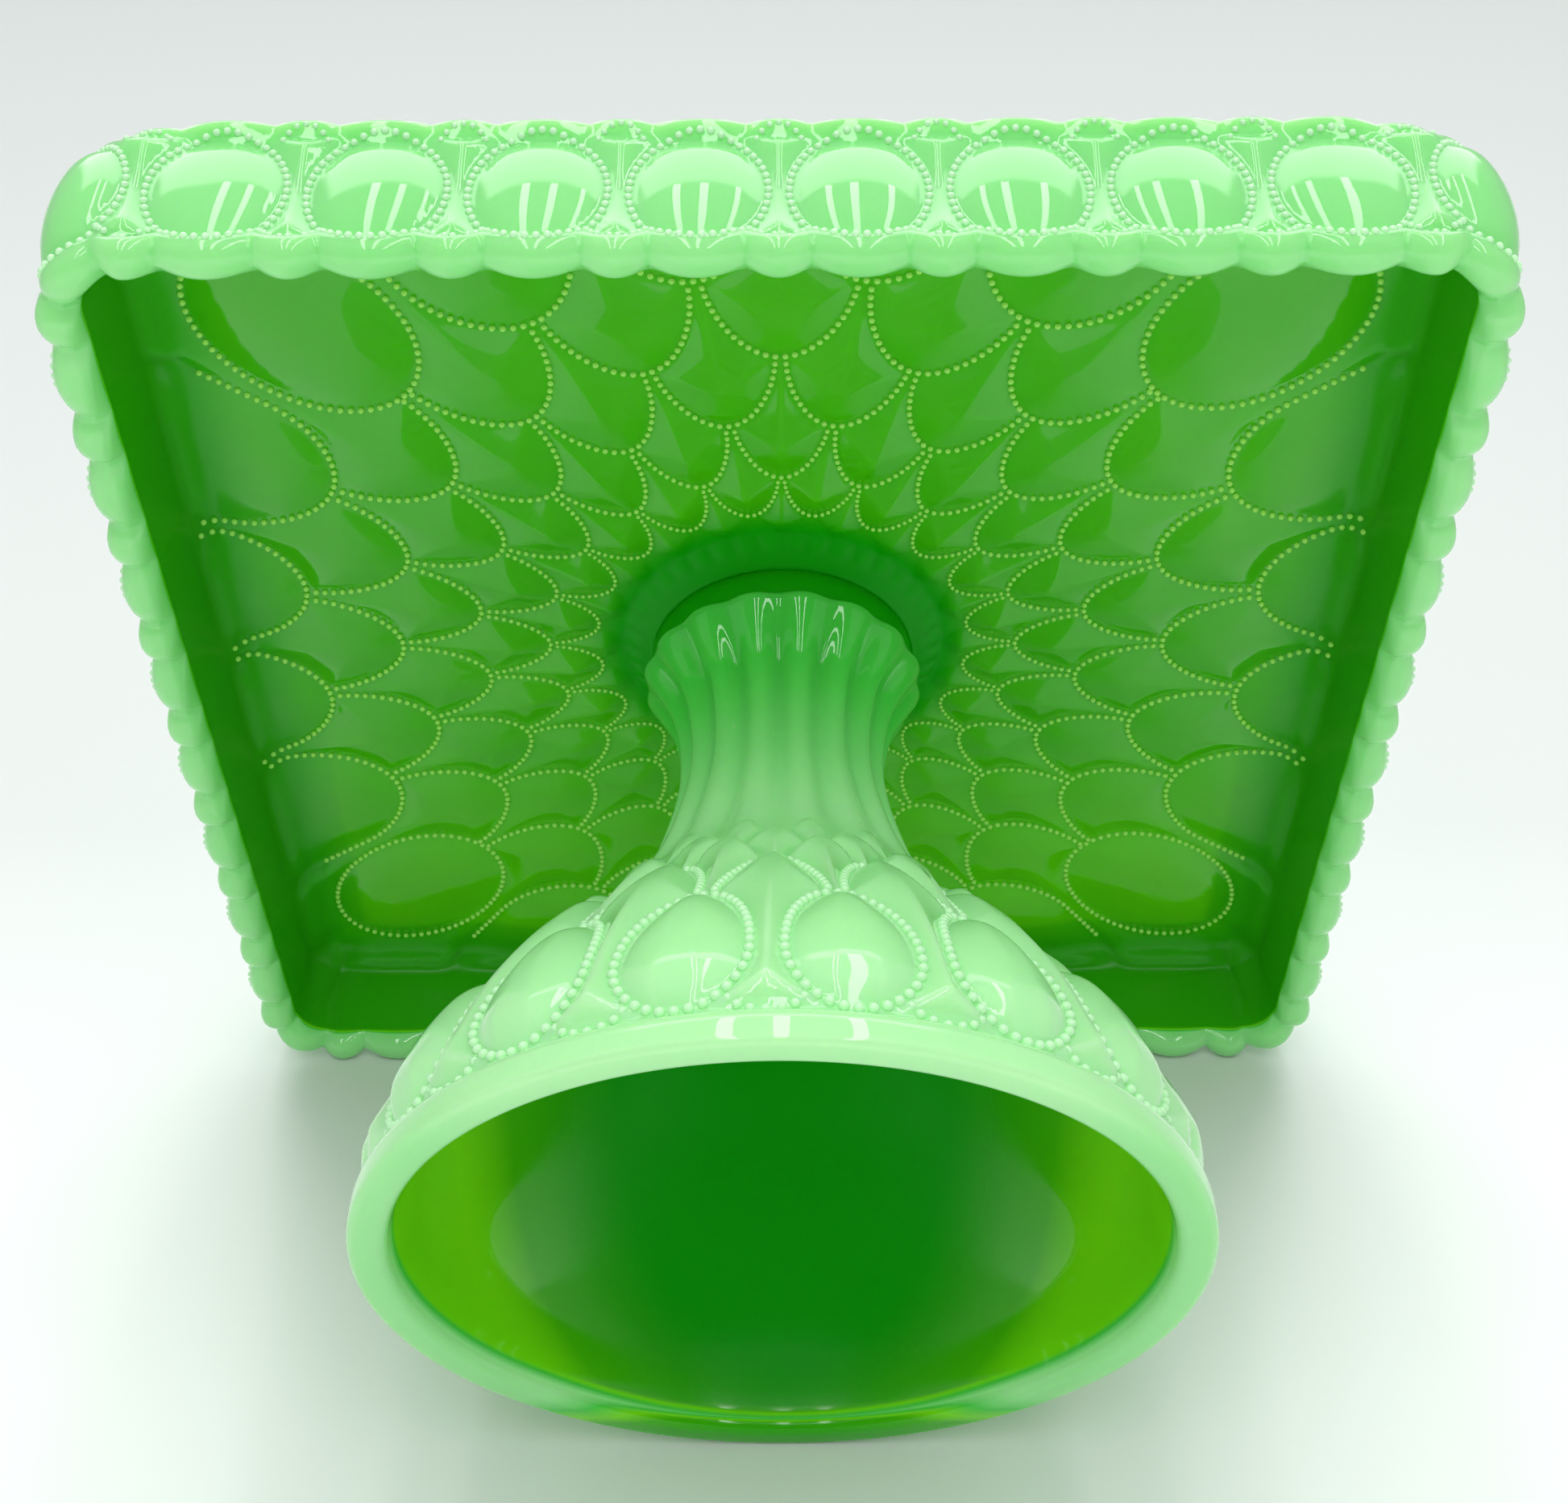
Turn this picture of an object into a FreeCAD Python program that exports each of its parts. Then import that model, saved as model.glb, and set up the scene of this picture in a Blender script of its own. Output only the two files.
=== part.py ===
import FreeCAD, Part
import math
import os

# Square pedestal cake stand in pressed opaque green glass, in millimetres, standing upright.
# Origin: centre of the foot ring in the resting plane.  +Z up, the plate's sides along X and Y.

os.makedirs("parts", exist_ok=True)

# Plate: a square tray with a deep border band that hangs below it.
PLATE_SIDE = 256.0          # across the scalloped rim
CORNER_RADIUS = 17.0        # of the rim in plan
RIM_Z = 121.1               # lowest edge of the border band
BAND_HEIGHT = 37.0          # rim to the lip on top
TRAY_THICKNESS = 5.2
LIP_HEIGHT = 5.3            # lip above the tray's top face
WALL_AT_RIM = 7.5           # thickness of the band at its lowest edge
WALL_DRAFT = 1.8            # how far the inner wall leans in by the time it reaches the tray
INNER_FILLET = 6.5          # between the inner wall and the tray's underside

# Decoration of the border band: one raised moon per pitch, one of them wrapped round each corner.
MOONS_PER_SIDE = 9
GROUND_INSET = 2.5          # the band's plain ground lies this far inside the rim
MOON_WIDTH = 22.1
CORNER_MOON_WIDTH = 19.0    # narrower, because a flat dome there would stand out past the rim
MOON_HEIGHT = 28.4
MOON_RISE = 2.4             # top of a moon above the ground
CORNER_MOON_RISE = 4.2      # higher, so that the dome reaches round the corner
MOON_OFFSET = 0.5           # middle of a moon above the middle of the band
RIM_LOBE_HEIGHT = 3.6
LIP_LOBE_HEIGHT = 2.6
WIDE_LOBE = 0.594           # width of the lobe under a moon, in pitches; the rest is the narrow lobe
RIM_VALLEY = 1.2            # depth of the notch between two rim lobes
LIP_VALLEY = 0.9
LIP_PROUD = 0.4             # the lip's lobes stand out past the rim

# Raised oval at each corner of the tray's underside.
OVAL_FROM_AXIS = 89.0       # along X and along Y
OVAL_LENGTH = 48.0
OVAL_WIDTH = 35.0
OVAL_RISE = 2.6

# Joint between plate and pedestal: a smooth boss on the plate and a wafer of glass.
BOSS_TOP_RADIUS = 35.5
BOSS_RADIUS = 28.6
BOSS_HEIGHT = 3.4
WAFER_RADIUS = 27.3
WAFER_THICKNESS = 7.6
WAFER_BULGE = 0.7

# Pedestal: a fluted stem that spreads into a bell-shaped foot, pressed in one piece.
FOOT_RADIUS = 76.2
FOOT_BAND_HEIGHT = 6.0
FOOT_OPENING = 69.0
FOOT_RING_ROUND = 1.9       # rounding of the ring's two lower edges
BAND_STEP = 3.4             # the bell starts this far inside the plain band
FLUTES = 16
WAIST_RADIUS = 21.0
WAIST_Z = 106.8
STEM_TOP_RADIUS = 29.4
STEM_LIP = 1.1              # rounded edge on top of the stem
FLUTE_RADIUS = 4.7
FLUTE_DEPTH = 1.8
FLUTE_ARC = 49.5            # radius of a flute's path, seen from the side
HOLLOW_TOP = 108.0          # the hollow of the foot reaches this far up the stem

# Profile of the bell and stem above the foot's plain band: (radius, z), up to the stem's lip.
BELL_PROFILE = (
    (72.2, 17.0),
    (66.8, 29.0),
    (55.0, 44.5),
    (41.8, 60.0),
    (30.8, 76.0),
    (24.7, 90.0),
    (WAIST_RADIUS, WAIST_Z),
    (22.9, 123.0),
)
# Profile of the hollow inside, from above the ring to below its top.
HOLLOW_PROFILE = ((63.5, 20.0), (46.0, 44.0), (28.0, 65.0), (15.5, 88.0))

# Teardrops on the foot, three staggered rows: place on the bell, size, rise.
TEAR_ROWS = (
    {"radius": 69.4, "z": 23.5, "slope": 66.0, "length": 34.0, "width": 22.3, "rise": 2.6, "turn": 0.5},
    {"radius": 54.2, "z": 45.5, "slope": 51.0, "length": 26.0, "width": 18.5, "rise": 2.4, "turn": 0.0},
    {"radius": 44.0, "z": 57.5, "slope": 50.0, "length": 17.0, "width": 14.5, "rise": 1.8, "turn": 0.5},
)

HALF = PLATE_SIDE / 2
LIP_Z = RIM_Z + BAND_HEIGHT
TRAY_TOP_Z = LIP_Z - LIP_HEIGHT
UNDERSIDE_Z = TRAY_TOP_Z - TRAY_THICKNESS
BOSS_Z = UNDERSIDE_Z - BOSS_HEIGHT
STEM_TOP_Z = BOSS_Z - WAFER_THICKNESS
STRAIGHT = HALF - CORNER_RADIUS
QUARTER = 2 * STRAIGHT + math.pi / 2 * CORNER_RADIUS
PITCH = QUARTER / MOONS_PER_SIDE
Z_AXIS = FreeCAD.Vector(0, 0, 1)
ORIGIN = FreeCAD.Vector(0, 0, 0)


def rim_point(place, outward, z):
    """Point and heading on the rounded square; place counts pitches from the middle of the -Y side."""
    side, along = divmod(place + MOONS_PER_SIDE / 2, MOONS_PER_SIDE)
    along = (along - MOONS_PER_SIDE / 2) * PITCH
    turn = math.copysign(max(0.0, abs(along) - STRAIGHT) / CORNER_RADIUS, along)
    x = max(-STRAIGHT, min(STRAIGHT, along)) + (CORNER_RADIUS + outward) * math.sin(turn)
    y = -STRAIGHT - (CORNER_RADIUS + outward) * math.cos(turn)
    quarter = side * math.pi / 2
    spun_x = x * math.cos(quarter) - y * math.sin(quarter)
    spun_y = x * math.sin(quarter) + y * math.cos(quarter)
    return FreeCAD.Vector(spun_x, spun_y, z), turn + quarter


def lobed_slice(z, height, peak, valley):
    """Slice of the band whose outline is one arc per lobe, wide under a moon and narrow between."""
    edges = []
    for moon in range(4 * MOONS_PER_SIDE):
        for middle, width in ((moon + 0.5, WIDE_LOBE), (moon + 1.0, 1 - WIDE_LOBE)):
            start = rim_point(middle - width / 2, valley, z)[0]
            crest = rim_point(middle, peak, z)[0]
            end = rim_point(middle + width / 2, valley, z)[0]
            edges.append(Part.Arc(start, crest, end).toShape())
    return Part.Face(Part.Wire(edges)).extrude(Z_AXIS * height)


def rounded_square(half, radius, z):
    """Closed wire of a square with rounded corners."""
    edges = []
    for quarter in range(4):
        spin = FreeCAD.Rotation(Z_AXIS, 90 * quarter)
        reach = half - radius
        diagonal = radius * math.sqrt(0.5)
        side_start = FreeCAD.Vector(-reach, -half, z)
        side_end = FreeCAD.Vector(reach, -half, z)
        bend = FreeCAD.Vector(reach + diagonal, -reach - diagonal, z)
        bend_end = FreeCAD.Vector(half, -reach, z)
        edges.append(Part.LineSegment(spin.multVec(side_start), spin.multVec(side_end)).toShape())
        arc = Part.Arc(spin.multVec(side_end), spin.multVec(bend), spin.multVec(bend_end))
        edges.append(arc.toShape())
    return Part.Wire(edges)


def rounded_block(half, radius, z, height):
    """Upright block on a rounded square."""
    return Part.Face(rounded_square(half, radius, z)).extrude(Z_AXIS * height)


def ellipsoid(length, width, rise, place, rotation):
    """Ellipsoid with its long axis along local X, its width along Y and its height along Z."""
    stretch = FreeCAD.Matrix()
    stretch.scale(length / 2, width / 2, rise)
    shape = Part.makeSphere(1.0).transformGeometry(stretch)
    shape.Placement = FreeCAD.Placement(place, rotation)
    return shape


def dome(length, width, rise, place, rotation):
    """Low dome: the cap of an ellipsoid whose centre is sunk by as much as the dome rises."""
    sunk = 2.0 * rise
    swell = 2 / math.sqrt(3)        # a cut at half height is this much narrower than the middle
    centre = place - rotation.multVec(Z_AXIS) * (sunk - rise)
    return ellipsoid(length * swell, width * swell, sunk, centre, rotation)


def heading(long_axis, outward):
    """Rotation that puts local X along long_axis and local Z along outward."""
    return FreeCAD.Rotation(long_axis, outward.cross(long_axis), outward, "ZXY")


def band_moons():
    """The raised moons round the band."""
    moons = []
    for moon in range(4 * MOONS_PER_SIDE):
        place, turn = rim_point(moon + 0.5, -GROUND_INSET, (RIM_Z + LIP_Z) / 2 + MOON_OFFSET)
        outward = FreeCAD.Vector(math.sin(turn), -math.cos(turn), 0)
        on_corner = moon % MOONS_PER_SIDE == MOONS_PER_SIDE // 2
        width = CORNER_MOON_WIDTH if on_corner else MOON_WIDTH
        rise = CORNER_MOON_RISE if on_corner else MOON_RISE
        moons.append(dome(MOON_HEIGHT, width, rise, place, heading(Z_AXIS, outward)))
    return moons


def underside_ovals():
    """The raised ovals in the corners of the tray's underside, each along its diagonal."""
    ovals = []
    for quarter in range(4):
        angle = math.radians(45 + 90 * quarter)
        diagonal = FreeCAD.Vector(math.cos(angle), math.sin(angle), 0)
        place = diagonal * (OVAL_FROM_AXIS * math.sqrt(2)) + Z_AXIS * UNDERSIDE_Z
        ovals.append(dome(OVAL_LENGTH, OVAL_WIDTH, OVAL_RISE, place, heading(diagonal, -Z_AXIS)))
    return ovals


def under_tray_space():
    """The space inside the band: drafted walls and a filleted ceiling."""
    half_low = HALF - WALL_AT_RIM
    half_high = half_low - WALL_DRAFT
    radius_low = CORNER_RADIUS - WALL_AT_RIM
    low = rounded_square(half_low, radius_low, RIM_Z)
    high = rounded_square(half_high, radius_low, UNDERSIDE_Z)
    space = Part.makeLoft([low, high], True, True)
    ceiling = [edge for edge in space.Edges if edge.BoundBox.ZMin > UNDERSIDE_Z - 0.01]
    return space.makeFillet(INNER_FILLET, ceiling)


def plate():
    """Tray, lip, border band and the boss under the middle."""
    ground = rounded_block(HALF - GROUND_INSET, CORNER_RADIUS - GROUND_INSET, RIM_Z, BAND_HEIGHT)
    rim = lobed_slice(RIM_Z, RIM_LOBE_HEIGHT, 0.0, -RIM_VALLEY)
    lip = lobed_slice(LIP_Z - LIP_LOBE_HEIGHT, LIP_LOBE_HEIGHT, LIP_PROUD, LIP_PROUD - LIP_VALLEY)
    body = ground.fuse([rim, lip] + band_moons()).cut(under_tray_space())
    boss = Part.makeCone(BOSS_RADIUS, BOSS_TOP_RADIUS, BOSS_HEIGHT, FreeCAD.Vector(0, 0, BOSS_Z))
    body = body.fuse([boss] + underside_ovals())
    tray_half = HALF - WALL_AT_RIM
    above_tray = rounded_block(tray_half, CORNER_RADIUS - WALL_AT_RIM, TRAY_TOP_Z, LIP_HEIGHT)
    return body.cut(above_tray).removeSplitter()


def revolve(edges):
    """Solid of revolution about Z of a closed outline in the XZ plane."""
    return Part.Face(Part.Wire(edges)).revolve(ORIGIN, Z_AXIS, 360)


def line(start, end):
    """Straight edge in the XZ plane from two (radius, z) pairs."""
    return Part.LineSegment(FreeCAD.Vector(start[0], 0, start[1]), FreeCAD.Vector(end[0], 0, end[1])).toShape()


def arc(start, middle, end):
    """Arc in the XZ plane through three (radius, z) pairs."""
    points = [FreeCAD.Vector(radius, 0, z) for radius, z in (start, middle, end)]
    return Part.Arc(*points).toShape()


def curve(points):
    """Smooth curve in the XZ plane through (radius, z) pairs."""
    spline = Part.BSplineCurve()
    spline.interpolate([FreeCAD.Vector(radius, 0, z) for radius, z in points])
    return spline.toShape()


def wafer():
    """Disc of glass that joins plate and pedestal, with a slightly bulging edge."""
    low = (WAFER_RADIUS, STEM_TOP_Z)
    high = (WAFER_RADIUS, BOSS_Z)
    bulge = (WAFER_RADIUS + WAFER_BULGE, (STEM_TOP_Z + BOSS_Z) / 2)
    outline = [
        line((0, STEM_TOP_Z), low),
        arc(low, bulge, high),
        line(high, (0, BOSS_Z)),
        line((0, BOSS_Z), (0, STEM_TOP_Z)),
    ]
    return revolve(outline)


def pedestal_blank():
    """Stem, bell and foot ring as one solid, before flutes, teardrops and hollow."""
    bulk = math.sqrt(0.5)
    ring = FOOT_RING_ROUND
    rest_out = (FOOT_RADIUS - ring, 0)
    round_out = (FOOT_RADIUS - ring * (1 - bulk), ring * (1 - bulk))
    ring_out = (FOOT_RADIUS, ring)
    band_top = (FOOT_RADIUS, FOOT_BAND_HEIGHT)
    bell_foot = (FOOT_RADIUS - BAND_STEP, FOOT_BAND_HEIGHT + BAND_STEP / 2)
    lip_low = (STEM_TOP_RADIUS, STEM_TOP_Z - STEM_LIP)
    lip_mid = (STEM_TOP_RADIUS - STEM_LIP * (1 - bulk), STEM_TOP_Z - STEM_LIP * (1 - bulk))
    lip_high = (STEM_TOP_RADIUS - STEM_LIP, STEM_TOP_Z)
    outline = [
        line((0, 0), rest_out),
        arc(rest_out, round_out, ring_out),
        line(ring_out, band_top),
        line(band_top, bell_foot),
        curve([bell_foot, *BELL_PROFILE, lip_low]),
        arc(lip_low, lip_mid, lip_high),
        line(lip_high, (0, STEM_TOP_Z)),
        line((0, STEM_TOP_Z), (0, 0)),
    ]
    return revolve(outline)


def foot_hollow():
    """The smooth hollow of the foot, flared at the ring."""
    ring = FOOT_RING_ROUND
    bulk = math.sqrt(0.5)
    rest_in = (FOOT_OPENING + ring, 0)
    round_in = (FOOT_OPENING + ring * (1 - bulk), ring * (1 - bulk))
    ring_in = (FOOT_OPENING, ring)
    outline = [
        line((0, 0), rest_in),
        arc(rest_in, round_in, ring_in),
        curve([ring_in, *HOLLOW_PROFILE, (0, HOLLOW_TOP)]),
        line((0, HOLLOW_TOP), (0, 0)),
    ]
    return revolve(outline)


def stem_flutes():
    """Rings that cut the concave flutes; each follows the curve of the waist."""
    reach = WAIST_RADIUS + FLUTE_RADIUS - FLUTE_DEPTH + FLUTE_ARC
    flutes = []
    for flute in range(FLUTES):
        angle = math.tau * flute / FLUTES
        centre = FreeCAD.Vector(reach * math.sin(angle), -reach * math.cos(angle), WAIST_Z)
        across = FreeCAD.Vector(math.cos(angle), math.sin(angle), 0)
        flutes.append(Part.makeTorus(FLUTE_ARC, FLUTE_RADIUS, centre, across))
    return flutes


def foot_teardrops():
    """Raised teardrops on the bell, in staggered rows."""
    drops = []
    for row in TEAR_ROWS:
        slope = math.radians(row["slope"])
        for drop in range(FLUTES):
            angle = math.tau * (drop + row["turn"]) / FLUTES
            radial = FreeCAD.Vector(math.sin(angle), -math.cos(angle), 0)
            up_the_bell = Z_AXIS * math.sin(slope) - radial * math.cos(slope)
            outward = Z_AXIS * math.cos(slope) + radial * math.sin(slope)
            place = radial * row["radius"] + Z_AXIS * row["z"]
            rotation = heading(up_the_bell, outward)
            drops.append(dome(row["length"], row["width"], row["rise"], place, rotation))
    return drops


def pedestal():
    """Fluted stem and hollow bell foot with its teardrops."""
    outside = pedestal_blank().cut(stem_flutes()).fuse(foot_teardrops())
    return outside.cut(foot_hollow()).removeSplitter()


def save(name, shape):
    """Write one piece and print what it measures."""
    solids = shape.Solids
    box = shape.optimalBoundingBox()
    print(name, "solids", len(solids), "valid", shape.isValid(), "volume_cm3", round(shape.Volume / 1000, 1),
          "z", round(box.ZMin, 2), round(box.ZMax, 2), "x", round(box.XMin, 2), round(box.XMax, 2))
    shape.exportStep("parts/" + name + ".step")


save("plate", plate())
save("wafer", wafer())
save("pedestal", pedestal())
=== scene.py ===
import math

import bmesh
import bpy
import numpy as np
from mathutils import Matrix, Vector


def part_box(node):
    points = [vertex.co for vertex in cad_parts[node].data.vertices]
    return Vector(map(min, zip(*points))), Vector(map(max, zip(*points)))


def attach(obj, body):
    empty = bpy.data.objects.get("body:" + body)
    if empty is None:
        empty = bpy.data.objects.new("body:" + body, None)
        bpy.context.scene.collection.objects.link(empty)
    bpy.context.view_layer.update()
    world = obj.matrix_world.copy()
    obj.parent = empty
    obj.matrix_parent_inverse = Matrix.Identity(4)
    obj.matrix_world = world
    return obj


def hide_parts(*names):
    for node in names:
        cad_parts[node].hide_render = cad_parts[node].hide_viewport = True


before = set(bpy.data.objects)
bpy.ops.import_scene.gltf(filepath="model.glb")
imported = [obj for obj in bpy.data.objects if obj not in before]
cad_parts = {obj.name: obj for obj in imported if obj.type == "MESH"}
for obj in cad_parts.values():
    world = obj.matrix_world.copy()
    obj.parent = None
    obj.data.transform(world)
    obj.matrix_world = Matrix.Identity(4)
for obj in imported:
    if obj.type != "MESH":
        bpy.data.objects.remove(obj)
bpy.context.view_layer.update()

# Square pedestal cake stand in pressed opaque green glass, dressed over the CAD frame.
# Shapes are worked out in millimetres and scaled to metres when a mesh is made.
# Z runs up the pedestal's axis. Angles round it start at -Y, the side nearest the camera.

MM = 0.001


def node_box(node):
    """Lowest and highest corner of a CAD node, in millimetres."""
    low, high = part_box(node)
    return np.array(low) / MM, np.array(high) / MM


PLATE_LOW, PLATE_HIGH = node_box("plate")
WAFER_LOW, WAFER_HIGH = node_box("wafer")
FOOT_LOW, FOOT_HIGH = node_box("pedestal")

# Plate
LIP_PROUD = 0.4                     # the lip stands out past the rim
HALF = PLATE_HIGH[0] - LIP_PROUD
RIM_Z = PLATE_LOW[2]
LIP_Z = PLATE_HIGH[2]
CORNER = 17.0
LIP_HEIGHT = 5.3
TRAY_THICKNESS = 5.2
TRAY_TOP_Z = LIP_Z - LIP_HEIGHT
UNDERSIDE_Z = TRAY_TOP_Z - TRAY_THICKNESS
WALL_AT_RIM = 7.5
RIM_NOTCH = 2.6                     # how far the notches between the rim's pillows rise
RIM_ROUND = 3.7                     # rounding of the rim's outer edge
RIM_PROUD = 0.45                    # the pillows stand out past the rim
RIM_NOTCH_IN = 1.3                  # how far the notches between them draw in
RIM_STEPS = 6
# The pillows' inner side: outward place, height over the rim, how far notches draw in and how far up
RIM_INNER_SIDE = (
    (-4.4, 0.0, 0.1, 1.0),
    (-5.4, 0.2, -0.4, 1.0),
    (-6.2, 0.65, -0.8, 0.95),
    (-6.8, 1.35, -0.9, 0.8),
    (-7.25, 2.4, -0.5, 0.6),
    (-7.5, 3.8, 0.0, 0.3),
)
LIP_NOTCH_IN = 0.5                  # how far the notches between the lip's lobes draw in
LIP_NOTCH_DOWN = 0.9                # and how far they dip
WALL_DRAFT = 1.8
INNER_FILLET = 6.5
INNER_WALL_Z = RIM_Z + 5.6          # where the inner wall starts, above the pillows
UNDERSIDE_EDGE = -WALL_AT_RIM - WALL_DRAFT - INNER_FILLET
BOSS_Z = WAFER_HIGH[2]
BOSS_COLLAR = (27.9, WAFER_HIGH[2] - 1.1)  # radius and height of its lowest edge, round the wafer
BOSS_FLUTES = 40
BOSS_FLUTING = 0.7

# Border band
MOONS = 9                           # per side, one of them on a corner
STRAIGHT = HALF - CORNER
PITCH = (2 * STRAIGHT + math.pi / 2 * CORNER) / MOONS
GROUND = -2.5                       # the band's ground, measured outward from the rim
MOON_Z = (RIM_Z + LIP_Z) / 2 + 0.5
MOON_SIZE = (11.05, 14.2)           # half width, half height
MOON_RISE = 2.4
CORNER_MOON_SWELL = 0.8             # how much higher the moon on a corner rises
CORNER_BULGE = 1.8                  # how far the band's ground swells round a corner
CORNER_LIP_INSET = 2.2              # how far the lip draws in over that moon
LIP_FLARE = 2.6                     # how far the lip stands out from the ground
LIP_FLARE_NOTCH = 0.6               # less of it in the notches
KEEL_GAP = 0.7                      # flat ground between a moon's pearls and the keels
KEEL_SLOPE = 0.5
KEEL_REACH = 4.0
MOON_CHAIN = (12.05, 15.2)          # half axes of the pearl ring round a moon
WIDE_LOBE = 0.594                   # width of the lobe under a moon, in pitches
BORDER_COLUMNS = 30                 # mesh columns in one pitch
FACE_TOP_Z = LIP_Z - 1.5
FACE_LOW_Z = RIM_Z + RIM_ROUND
FACE_ROWS = 34

# Rows of scales under the tray, from the outside in: radius of tip and belly, turn in scale steps,
# rise, how far from its edge a scale reaches that rise, how much of it is a keel, and pearl size
SCALES = 20
SCALE_STEP = math.tau / SCALES
SCALE_HALF = math.radians(8.3)
SCALE_ROWS = (
    dict(tip=101.0, belly=121.0, turn=0.5, rise=2.1, reach=12.0, keel=0.0, pearl=1.30),
    dict(tip=81.5, belly=101.0, turn=0.0, rise=1.9, reach=10.0, keel=0.1, pearl=1.25),
    dict(tip=64.5, belly=81.5, turn=0.5, rise=1.7, reach=8.5, keel=0.3, pearl=1.15),
    dict(tip=49.8, belly=64.5, turn=0.0, rise=1.6, reach=7.0, keel=0.6, pearl=1.05),
    dict(tip=39.5, belly=49.8, turn=0.5, rise=1.5, reach=5.5, keel=0.9, pearl=0.90),
    dict(tip=34.2, belly=40.5, turn=0.0, rise=1.4, reach=4.5, keel=1.0, pearl=0.0),
)
OVAL_FROM_AXIS = 89.0
OVAL_SIZE = (24.0, 17.3)
OVAL_RISE = 2.6
PEARL_LEDGE = 0.7                   # flat ledge along a scale's edge, for its pearls
KEEL_STEEPNESS = 1.5                # a keel's slope, against that of a soft scale
UNDERSIDE_COLUMNS = 27              # mesh columns in one scale step
UNDERSIDE_ROWS = 92

# Pedestal
FLUTES = 16
FLUTE_STEP = math.tau / FLUTES
FOOT_RADIUS = FOOT_HIGH[0]
STEM_TOP_Z = FOOT_HIGH[2]
STEM_TOP_RADIUS = 29.4
PEDESTAL_COLUMNS = 36               # mesh columns in one flute step
FOOT_INSIDE = 69.0                  # inner radius of the ring that the foot stands on
FOOT_ROUNDING = 2.2
FOOT_OUTER_ROUNDING = 1.5
FOOT_RING_TOP = ((0.0, 3.4), (0.05, 4.6), (0.35, 5.6), (0.9, 6.4), (1.6, 6.9), (2.3, 7.2))
STEM_LIP_ROUNDING = 1.1

# Painted shade and light in the glass colour, set per point: 0 is the palest glass, fully lit, and 1 the
# deepest green, in full shade
# painted shade over the whole underside of the tray
UNDERSIDE_TINT = 0.62
# painted light: the underside gets less shade on its side near the floor, which gets more light
UNDERSIDE_FLOOR_SIDE = 0.05         # less on the side that lies near the floor
# painted shade, deeper on the inner walls and on the boss round the stem
WALL_TINT = 0.22                    # added on the inner walls
BOSS_TINT = 0.38                    # added on the boss
# painted shade on the band's face, less towards the rim
FACE_TINT = 0.15                    # on the band's face
RIM_TINT = 0.12
# painted light: paler at the sides of the foot's mouth, where light comes through the walls
BELL_SIDE_TINT = 0.48               # at the sides of the foot's mouth
# painted shade at the stem's upper end, under the plate
STEM_TINT = 0.3                     # at the stem's upper end
# painted shade on the ring's face, left off its -Y side, which lies uppermost
FOOT_FACE_TINT = 0.1                # on the ring's face
# painted shade, deepest where the ring's face lies near the floor
FOOT_FLOOR_TINT = 0.72              # where the ring's face lies near the floor
# painted shade: the wafer, tucked under the plate, is nearly the deepest green
WAFER_TINT = 0.97


# ---------------- mesh helpers

def join_rings(rings):
    """Points and faces of a tube of rings; a ring may have half or twice its neighbour's columns."""
    starts = np.cumsum([0] + [len(ring) for ring in rings])
    faces = []
    for index in range(len(rings) - 1):
        first = len(rings[index])
        second = len(rings[index + 1])
        start_a = int(starts[index])
        start_b = int(starts[index + 1])
        if first == second:
            column = np.arange(first)
            after = (column + 1) % first
            quads = np.stack([start_a + column, start_a + after, start_b + after, start_b + column], 1)
            faces.extend(quads.tolist())
            continue
        flip = second > first
        fine_start, coarse_start = (start_b, start_a) if flip else (start_a, start_b)
        coarse_count = min(first, second)
        for column in range(coarse_count):
            left = coarse_start + column
            right = coarse_start + (column + 1) % coarse_count
            fine = [fine_start + (2 * column + step) % (2 * coarse_count) for step in range(3)]
            triangles = [
                [left, fine[0], fine[1]],
                [left, fine[1], right],
                [right, fine[1], fine[2]],
            ]
            faces.extend([face[::-1] if not flip else face for face in triangles])
    points = np.concatenate(rings + [rings[0].mean(0)[None], rings[-1].mean(0)[None]])
    centre = int(starts[-1])
    top = len(rings[0])
    bottom = len(rings[-1])
    bottom_start = int(starts[-2])
    faces.extend([[centre, (column + 1) % top, column] for column in range(top)])
    faces.extend([[centre + 1, bottom_start + column, bottom_start + (column + 1) % bottom]
                  for column in range(bottom)])
    return points, faces


def around(radius, angle, z):
    """Points at a distance from the axis, an angle from -Y and a height."""
    x = radius * np.sin(angle)
    return np.stack([x, -radius * np.cos(angle), np.broadcast_to(z, x.shape)], 1)


def lathe_ring(radius, z, columns):
    """Plain round ring."""
    return around(radius, np.arange(columns) / columns * math.tau, z)


def make_piece(name, points, faces, shade_depth):
    """Mesh object from millimetre points, smooth shaded; the last argument is the painted shade per
    point, as depth of the glass colour.
    """
    mesh = bpy.data.meshes.new(name)
    mesh.from_pydata((np.asarray(points) * MM).tolist(), [], faces)
    attribute = mesh.attributes.new("shade_depth", "FLOAT", "POINT")
    attribute.data.foreach_set("value", np.asarray(shade_depth, dtype=np.float32))
    work = bmesh.new()
    work.from_mesh(mesh)
    bmesh.ops.recalc_face_normals(work, faces=work.faces)
    work.to_mesh(mesh)
    work.free()
    mesh.shade_smooth()
    piece = bpy.data.objects.new(name, mesh)
    bpy.context.scene.collection.objects.link(piece)
    return piece


def smooth_step(low, high, value):
    """0 below low, 1 above high, and a smooth rise between."""
    part = np.clip((value - low) / (high - low), 0, 1)
    return part * part * (3 - 2 * part)


def ellipse_depth(along, across, half_along, half_across):
    """Distance inside an ellipse, to first order; negative outside."""
    reach = np.sqrt((along / half_along) ** 2 + (across / half_across) ** 2)
    steep = np.sqrt((along / half_along ** 2) ** 2 + (across / half_across ** 2) ** 2)
    middle = np.minimum(half_along, half_across)
    return np.where(reach < 1e-6, middle, (1 - reach) * reach / np.maximum(steep, 1e-9))


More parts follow.
